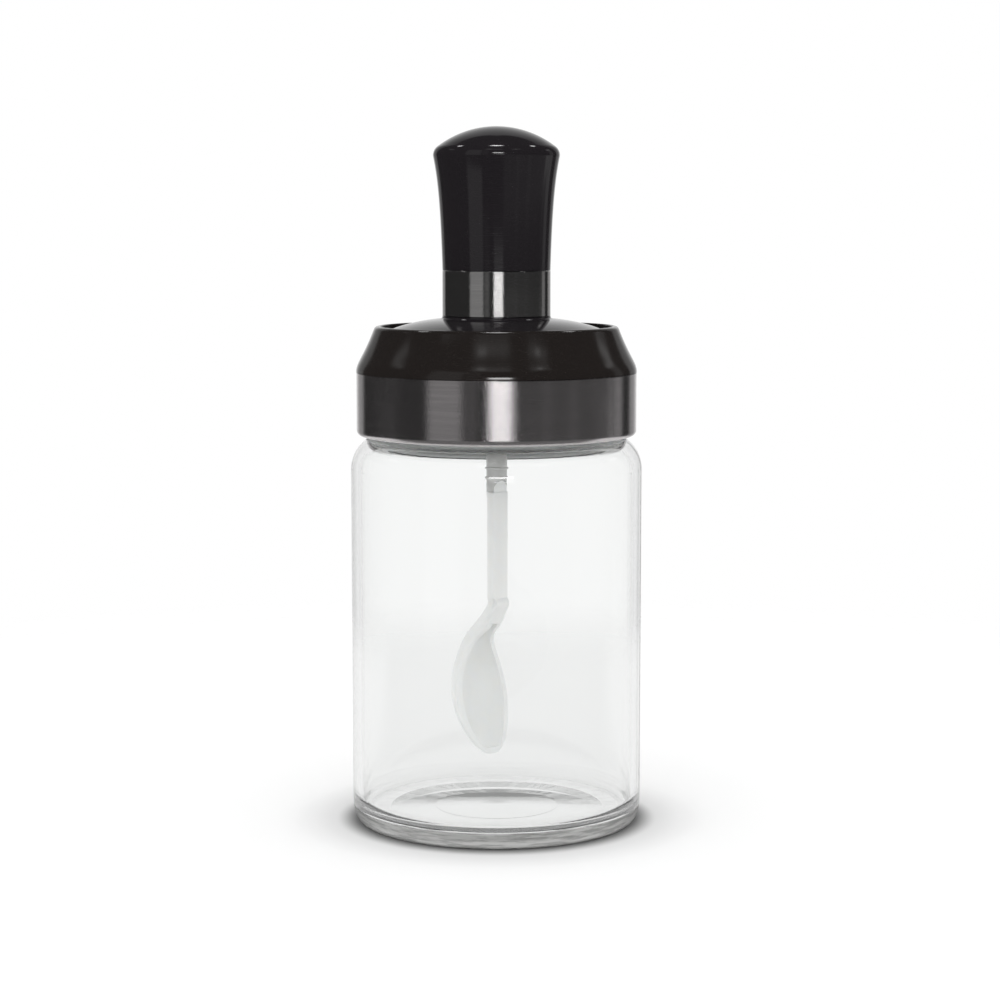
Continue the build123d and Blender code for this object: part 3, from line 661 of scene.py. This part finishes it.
@dataclass(frozen=True)
class SmokyPlastic(Finish):
    """Grey translucent plastic of the spoon's socket."""

    colour: Colour = (0.93, 0.93, 0.92)
    deep_colour: Colour = (0.78, 0.78, 0.77)
    cloud_scale: float = 380.0
    cloud_from: float = 0.35
    cloud_to: float = 0.7
    roughness: float = 0.22
    refraction: float = 1.5
    clearness: float = 0.35
    ripple_scale: float = 320.0
    ripple_depth: float = 0.00012

    def build(self) -> bpy.types.Material:
        """Make the material.

        Returns:
            The material.
        """
        material, graph, where = self.open_material()
        skin = self.effect(
            graph, SurfaceEffects.moulded_skin(), where, Ripple_Scale=self.ripple_scale
        )
        clouds = graph.noise(where, self.cloud_scale, detail=3.0, roughness=0.6)
        pale = graph.step(clouds, self.cloud_from, self.cloud_to)
        shader = self.principled(
            graph,
            {
                "Base Color": graph.blend_colour(pale, self.deep_colour, self.colour),
                "Roughness": self.roughness,
                "IOR": self.refraction,
                "Transmission Weight": self.clearness,
                "Normal": self.bump(graph, skin["Ripple"], self.ripple_depth),
            },
        )
        self.close_material(graph, shader)
        return material


class Finishes:
    """The finishes of the part."""

    def __init__(self) -> None:
        """Describe every finish."""
        self.all: list[Finish] = [
            ClearGlass(Look.CLEAR_GLASS),
            GlossPlastic(Look.GLOSS_BLACK),
            GlossPlastic(
                Look.WARM_BLACK,
                colour=(0.015, 0.0122, 0.0112),
                worn_colour=(0.028, 0.024, 0.022),
                roughness=0.11,
            ),
            SatinPlastic(Look.SATIN_BLACK),
            BrushedSteel(Look.BAND_STEEL),
            BrushedSteel(
                Look.SLEEVE_STEEL,
                colour=(0.60, 0.59, 0.585),
                dark_colour=(0.52, 0.51, 0.505),
                roughness=0.09,
                anisotropy=0.95,
                line_depth=0.0000002,
                ragged_depth=0.000012,
            ),
            SatinPlastic(
                Look.NATURAL_INSERT,
                colour=(0.93, 0.94, 0.93),
                pale_colour=(0.96, 0.97, 0.96),
                roughness=0.35,
                glow=0.3,
            ),
            SatinPlastic(
                Look.MILKY_SILICONE,
                colour=(0.72, 0.73, 0.73),
                pale_colour=(0.82, 0.83, 0.83),
                roughness=0.5,
                glow=0.3,
            ),
            SmokyPlastic(Look.SMOKY_SOCKET),
            SatinPlastic(
                Look.WHITE_SPOON,
                colour=(0.94, 0.95, 0.94),
                pale_colour=(0.97, 0.98, 0.97),
                roughness=0.32,
                glow=0.35,
                grain_depth=0.000002,
            ),
            BrushedSteel(
                Look.ZINC_SCREW,
                colour=(0.62, 0.62, 0.6),
                dark_colour=(0.5, 0.5, 0.49),
                roughness=0.32,
                anisotropy=0.3,
            ),
        ]

    def build(self) -> dict[Look, bpy.types.Material]:
        """Make every material, and give them by look."""
        return {finish.look: finish.build() for finish in self.all}


@dataclass
class SubAssembly:
    """Pieces that belong together, each a CAD node with the look it gets."""

    looks: tuple[tuple[str, Look], ...] = ()

    def build(self, materials: Materials) -> list[bpy.types.Object]:
        """Dress every piece with the finish of its look, and give the pieces."""
        return [self.dress(node, materials[look]) for node, look in self.looks]

    def dress(self, node: str, material: bpy.types.Material) -> bpy.types.Object:
        """Give a carried-over CAD node its finish.

        Args:
            node: the CAD node's name.
            material: its new material.

        Returns:
            The node's object.
        """
        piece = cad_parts[node]
        for place in piece.material_slots:
            place.material = material
        return piece


@dataclass
class GlassJar(SubAssembly):
    """The glass jar with its gasket."""

    looks: tuple[tuple[str, Look], ...] = (
        ("glass_jar", Look.CLEAR_GLASS),
        ("jar_gasket", Look.MILKY_SILICONE),
    )


@dataclass
class ScrewCollar(SubAssembly):
    """The screw-on collar: cover, threaded insert and steel band."""

    looks: tuple[tuple[str, Look], ...] = (
        ("collar_cover", Look.WARM_BLACK),
        ("screw_insert", Look.NATURAL_INSERT),
        ("steel_band", Look.BAND_STEEL),
    )


@dataclass
class PlugAndKnob(SubAssembly):
    """The plug with its dome, seal, sleeve, knob and screw."""

    looks: tuple[tuple[str, Look], ...] = (
        ("dome_cap", Look.GLOSS_BLACK),
        ("plug_body", Look.SATIN_BLACK),
        ("plug_seal", Look.MILKY_SILICONE),
        ("handle_sleeve", Look.SLEEVE_STEEL),
        ("knob_shell", Look.GLOSS_BLACK),
        ("knob_screw", Look.ZINC_SCREW),
    )


@dataclass
class HangingSpoon(SubAssembly):
    """The spoon and the socket that holds it."""

    looks: tuple[tuple[str, Look], ...] = (
        ("spoon_socket", Look.SMOKY_SOCKET),
        ("spoon", Look.WHITE_SPOON),
    )


@dataclass(frozen=True)
class LightPanel:
    """A soft-edged patch of light in the studio round the part.

    Angles are in degrees. Azimuth is 0 towards the camera and grows to the right.
    """

    azimuth: float
    elevation: float
    half_width: float
    half_height: float
    softness: float
    strength: float

    def light(self, graph: Graph, azimuth: Socket, elevation: Socket) -> Socket:
        """Give the panel's light in a direction.

        Args:
            graph: the world's graph.
            azimuth: the direction's azimuth in degrees.
            elevation: the direction's elevation in degrees.

        Returns:
            The light.
        """
        aside = graph.maths("ABSOLUTE", graph.maths("SUBTRACT", azimuth, self.azimuth))
        above = graph.maths("ABSOLUTE", graph.maths("SUBTRACT", elevation, self.elevation))
        across = graph.step(
            aside,
            self.half_width - self.softness,
            self.half_width + self.softness,
            self.strength,
            0.0,
        )
        up = graph.step(
            above, self.half_height - self.softness, self.half_height + self.softness, 1.0, 0.0
        )
        return graph.product(across, up)


@dataclass(frozen=True)
class Backdrop:
    """The pale wall behind the part, as reflections show it. Angles are in degrees."""

    edge: float = 141.0
    edge_softness: float = 2.5
    middle_from: float = 150.0
    middle_to: float = 172.0
    side_light: float = 0.33
    low: float = -5.0
    high: float = 56.0
    low_light: float = 0.88
    high_light: float = 0.28
    top: float = 53.0
    top_softness: float = 1.5
    slope: float = 0.37

    def light(self, graph: Graph, azimuth: Socket, elevation: Socket) -> Socket:
        """Give its light in a direction, dimmer upwards and to its sides.

        Args:
            graph: the world's graph.
            azimuth: the direction's azimuth in degrees.
            elevation: the direction's elevation in degrees.

        Returns:
            The light.
        """
        aside = graph.maths("ABSOLUTE", azimuth)
        edge = graph.step(aside, self.edge - self.edge_softness, self.edge + self.edge_softness)
        middle = graph.step(aside, self.middle_from, self.middle_to, self.side_light, 1.0)
        fall = graph.step(elevation, self.low, self.high, self.low_light, self.high_light)
        slope = graph.maths("MULTIPLY_ADD", aside, -self.slope, HALF_TURN * self.slope)
        height = graph.maths("ADD", elevation, slope)
        under_top = graph.step(
            height, self.top - self.top_softness, self.top + self.top_softness, 1.0, 0.0
        )
        return graph.product(edge, middle, fall, under_top)


@dataclass(frozen=True)
class GlassView:
    """The surround that is seen through glass. Angles are in degrees."""

    front: float = 40.0
    beside: float = 110.0
    low: float = 15.0
    high: float = 45.0
    grey: float = 0.88

    def light(self, graph: Graph, azimuth: Socket, elevation: Socket) -> Socket:
        """Give its light: white behind and beside, grey in front and overhead.

        Args:
            graph: the world's graph.
            azimuth: the direction's azimuth in degrees.
            elevation: the direction's elevation in degrees.

        Returns:
            The light.
        """
        behind = graph.step(graph.maths("ABSOLUTE", azimuth), self.front, self.beside)
        low = graph.step(elevation, self.low, self.high, 1.0, 0.0)
        return graph.between(graph.product(behind, low), self.grey, 1.0)


@dataclass
class World:
    """The surround: white for the camera, a studio with light panels for reflections."""

    surround: float = 0.95
    room: float = 0.03
    lit_through_glass: float = 1.25
    backdrop: Backdrop = Backdrop()
    glass_view: GlassView = GlassView()
    panels: tuple[LightPanel, ...] = (
        # In front: the bright strip on the steel, and its weaker foot.
        LightPanel(3.0, 10.0, 9.0, 3.0, 1.5, 14.0),
        LightPanel(4.5, 0.5, 9.5, 4.5, 1.5, 1.4),
        # The pale part of the steel to the left of the strip.
        LightPanel(-43.0, 11.0, 15.0, 27.0, 2.0, 0.25),
        LightPanel(-20.0, 16.0, 5.0, 22.0, 3.0, 0.09),
        # The broad dim part of the steel to its right, and its edge.
        LightPanel(62.0, -31.0, 48.0, 26.0, 3.0, 0.1),
        LightPanel(66.0, -31.0, 4.0, 26.0, 2.0, 0.05),
        LightPanel(42.0, -31.0, 3.0, 26.0, 2.0, 0.05),
        LightPanel(119.0, 8.0, 6.0, 20.0, 2.0, 0.16),
        LightPanel(115.0, -30.0, 11.0, 26.0, 3.0, 0.1),
        # Overhead and to both sides: bright edges on knob, dome and cover.
        LightPanel(0.0, 90.0, 190.0, 6.0, 1.0, 15.0),
        LightPanel(-125.0, 53.0, 9.0, 2.5, 1.0, 7.0),
        LightPanel(125.0, 53.0, 9.0, 2.5, 1.0, 7.0),
        # Soft patches on the cover's slope: in front, then near its two sides.
        LightPanel(-5.0, 46.0, 19.0, 4.0, 3.5, 0.45),
        LightPanel(-15.0, 47.0, 4.0, 2.0, 2.0, 0.8),
        LightPanel(44.0, 44.5, 10.0, 3.5, 3.0, 0.4),
        LightPanel(44.0, 44.5, 2.5, 1.5, 1.5, 1.3),
        LightPanel(-102.0, 31.5, 8.0, 2.5, 2.5, 0.45),
        LightPanel(117.0, 24.5, 6.0, 2.5, 2.5, 0.5),
        # A narrow pale strip on the steel band, close to its right edge.
        LightPanel(109.5, -11.0, 5.0, 3.0, 2.0, 0.2),
    )

    def build(self) -> None:
        """Set the scene's world."""
        world = bpy.data.worlds.new("studio_world")
        bpy.context.scene.world = world
        world.use_nodes = True
        world.node_tree.nodes.clear()
        graph = Graph(world.node_tree)
        azimuth, elevation = self.direction(graph)
        light = graph.maths("ADD", self.backdrop.light(graph, azimuth, elevation), self.room)
        for panel in self.panels:
            light = graph.maths("ADD", light, panel.light(graph, azimuth, elevation))
        path = graph.add("ShaderNodeLightPath").outputs
        strength = graph.between(path["Is Glossy Ray"], self.surround, light)
        # Light that reaches a piece inside the glass, or the floor beside it.
        lit = graph.maths("MINIMUM", path["Diffuse Depth"], 1.0)
        seen = self.glass_view.light(graph, azimuth, elevation)
        through = graph.between(lit, seen, self.lit_through_glass)
        strength = graph.between(path["Is Transmission Ray"], strength, through)
        strength = graph.between(path["Is Camera Ray"], strength, 1.0)
        background = graph.add("ShaderNodeBackground", {"Color": WHITE, "Strength": strength})
        graph.add("ShaderNodeOutputWorld", {"Surface": background.outputs[0]})

    def direction(self, graph: Graph) -> tuple[Socket, Socket]:
        """Turn the ray's direction into angles.

        Args:
            graph: the world's graph.

        Returns:
            The azimuth and the elevation in degrees.
        """
        parts = graph.split(graph.add("ShaderNodeTexCoord").outputs["Generated"])
        radians = graph.maths("ARCTAN2", parts["X"], graph.product(parts["Y"], -1.0))
        elevation = graph.maths("DEGREES", graph.maths("ARCSINE", parts["Z"]))
        return graph.maths("DEGREES", radians), elevation


@dataclass
class Floor:
    """The pale round floor, which fades into the white surround.

    Radii and depths are in metres, the contact shade's lengths in millimetres.
    """

    radius: float = 0.34
    sides: int = 96
    fade_from: float = 0.2
    clear_rim: float = 0.01
    colour: Colour = (0.93, 0.93, 0.93)
    lift: float = 0.1
    through_glass: float = 0.8
    glass_lift: float = 0.9
    mirrored: float = 0.2
    mirrored_from: float = -0.03
    mirrored_to: float = 0.03
    # Painted contact shadow round the jar's foot: a dark ring, then a soft wider fade.
    contact_radius: float = 31.0
    contact_width: float = 5.5
    contact_shade: float = 0.3
    soft_from: float = 1.0
    soft_to: float = 20.0
    soft_shade: float = 0.83

    def build(self) -> None:
        """Lay the floor."""
        mesh = bpy.data.meshes.new("studio_floor")
        shape = bmesh.new()
        bmesh.ops.create_circle(shape, cap_ends=True, segments=self.sides, radius=self.radius)
        shape.to_mesh(mesh)
        shape.free()
        floor = bpy.data.objects.new("studio_floor", mesh)
        bpy.context.scene.collection.objects.link(floor)
        mesh.materials.append(self.paint())

    def paint(self) -> bpy.types.Material:
        """Make the floor's material.

        Returns:
            The material.
        """
        material = bpy.data.materials.new("pale_floor")
        material.use_nodes = True
        material.node_tree.nodes.clear()
        graph = Graph(material.node_tree)
        where = graph.add("ShaderNodeTexCoord").outputs["Object"]
        away = graph.length(where)
        path = graph.add("ShaderNodeLightPath").outputs
        through = path["Is Transmission Ray"]
        # Painted contact shadow, seen by camera rays only.
        shade = graph.between(path["Is Camera Ray"], 1.0, self.contact(graph, away))
        bright = graph.product(self.brightness(graph, where, path), shade)
        colour = graph.blend_colour(bright, BLACK, self.colour)
        pale = graph.add("ShaderNodeBsdfDiffuse", {"Color": colour}).outputs[0]
        lift = graph.product(path["Is Camera Ray"], self.lift, shade)
        glass_lift = self.through_glass * self.glass_lift
        lift = graph.maths("MULTIPLY_ADD", through, glass_lift, lift)
        white = graph.add("ShaderNodeEmission", {"Color": WHITE, "Strength": lift}).outputs[0]
        lifted = graph.add("ShaderNodeAddShader", {0: pale, 1: white}).outputs[0]
        clear = graph.add("ShaderNodeBsdfTransparent").outputs[0]
        fade = graph.step(away, self.fade_from, self.radius - self.clear_rim)
        mixed = graph.add("ShaderNodeMixShader", {0: fade, 1: lifted, 2: clear}).outputs[0]
        graph.add("ShaderNodeOutputMaterial", {"Surface": mixed})
        return material

    def brightness(self, graph: Graph, where: Socket, path: bpy.types.NodeOutputs) -> Socket:
        """Dim the floor where it is mirrored in front, or seen through glass.

        Args:
            graph: the floor's graph.
            where: coordinates in metres.
            path: the outputs of the Light Path node.

        Returns:
            How bright the floor is, from 0 to 1.
        """
        through = path["Is Transmission Ray"]
        mirrored = graph.product(path["Is Glossy Ray"], graph.maths("SUBTRACT", 1.0, through))
        deep = graph.split(where)["Y"]
        front = graph.step(deep, self.mirrored_from, self.mirrored_to, 1.0, 0.0)
        dimming = graph.product(mirrored, front, 1.0 - self.mirrored)
        bright = graph.maths("SUBTRACT", 1.0, dimming)
        return graph.maths("SUBTRACT", bright, graph.product(through, self.through_glass))

    def contact(self, graph: Graph, away: Socket) -> Socket:
        """Paint a shadow on the ground close round the jar's foot.

        Args:
            graph: the floor's graph.
            away: the distance from the axis in metres.

        Returns:
            The shade, 1 where there is none.
        """
        near = graph.step(
            away,
            millimetres(self.contact_radius),
            millimetres(self.contact_radius + self.contact_width),
            self.contact_shade,
            1.0,
        )
        soft = graph.step(
            away,
            millimetres(self.contact_radius + self.soft_from),
            millimetres(self.contact_radius + self.soft_to),
            self.soft_shade,
            1.0,
        )
        return graph.product(near, soft)


@dataclass
class Studio:
    """World, floor, lamp and camera."""

    camera_place: Triple = (0.00078, -0.5474, 0.1344)
    camera_tilt: float = 83.52
    camera_lens: float = 88.45
    sensor_width: float = 36.0
    lamp_place: Triple = (-0.03, -0.28, 0.75)
    lamp_aim: Triple = (0.0, 0.0, 0.05)
    lamp_size: float = 0.6
    lamp_power: float = 0.8

    def build(self) -> None:
        """Set up the studio."""
        World().build()
        Floor().build()
        self.hang_lamp()
        self.place_camera()

    def hang_lamp(self) -> None:
        """Hang one wide soft lamp above, left out of reflections."""
        data = bpy.data.lights.new("overhead_lamp", "AREA")
        data.shape = "DISK"
        data.size = self.lamp_size
        data.energy = self.lamp_power
        lamp = bpy.data.objects.new("overhead_lamp", data)
        bpy.context.scene.collection.objects.link(lamp)
        lamp.location = self.lamp_place
        aim = Vector(self.lamp_aim) - lamp.location
        lamp.rotation_euler = aim.to_track_quat("-Z", "Y").to_euler()
        lamp.visible_glossy = False
        lamp.visible_camera = False
        lamp.visible_transmission = False

    def place_camera(self) -> None:
        """Place the camera where the photograph's was."""
        data = bpy.data.cameras.new("photo_camera")
        data.lens = self.camera_lens
        data.sensor_width = self.sensor_width
        data.dof.use_dof = False
        camera = bpy.data.objects.new("photo_camera", data)
        bpy.context.scene.collection.objects.link(camera)
        camera.location = self.camera_place
        camera.rotation_euler = (math.radians(self.camera_tilt), 0.0, 0.0)
        bpy.context.scene.camera = camera
        bpy.context.scene.view_settings.view_transform = "Standard"


def main() -> None:
    """Build every sub-assembly in order and report each piece."""
    logging.basicConfig(level=logging.INFO, format="%(message)s")
    materials = Finishes().build()
    for part in (GlassJar(), ScrewCollar(), PlugAndKnob(), HangingSpoon()):
        for piece in part.build(materials):
            LOG.info("%s: %s", type(part).__name__, piece.name)
    Studio().build()


if __name__ == "__main__":
    main()
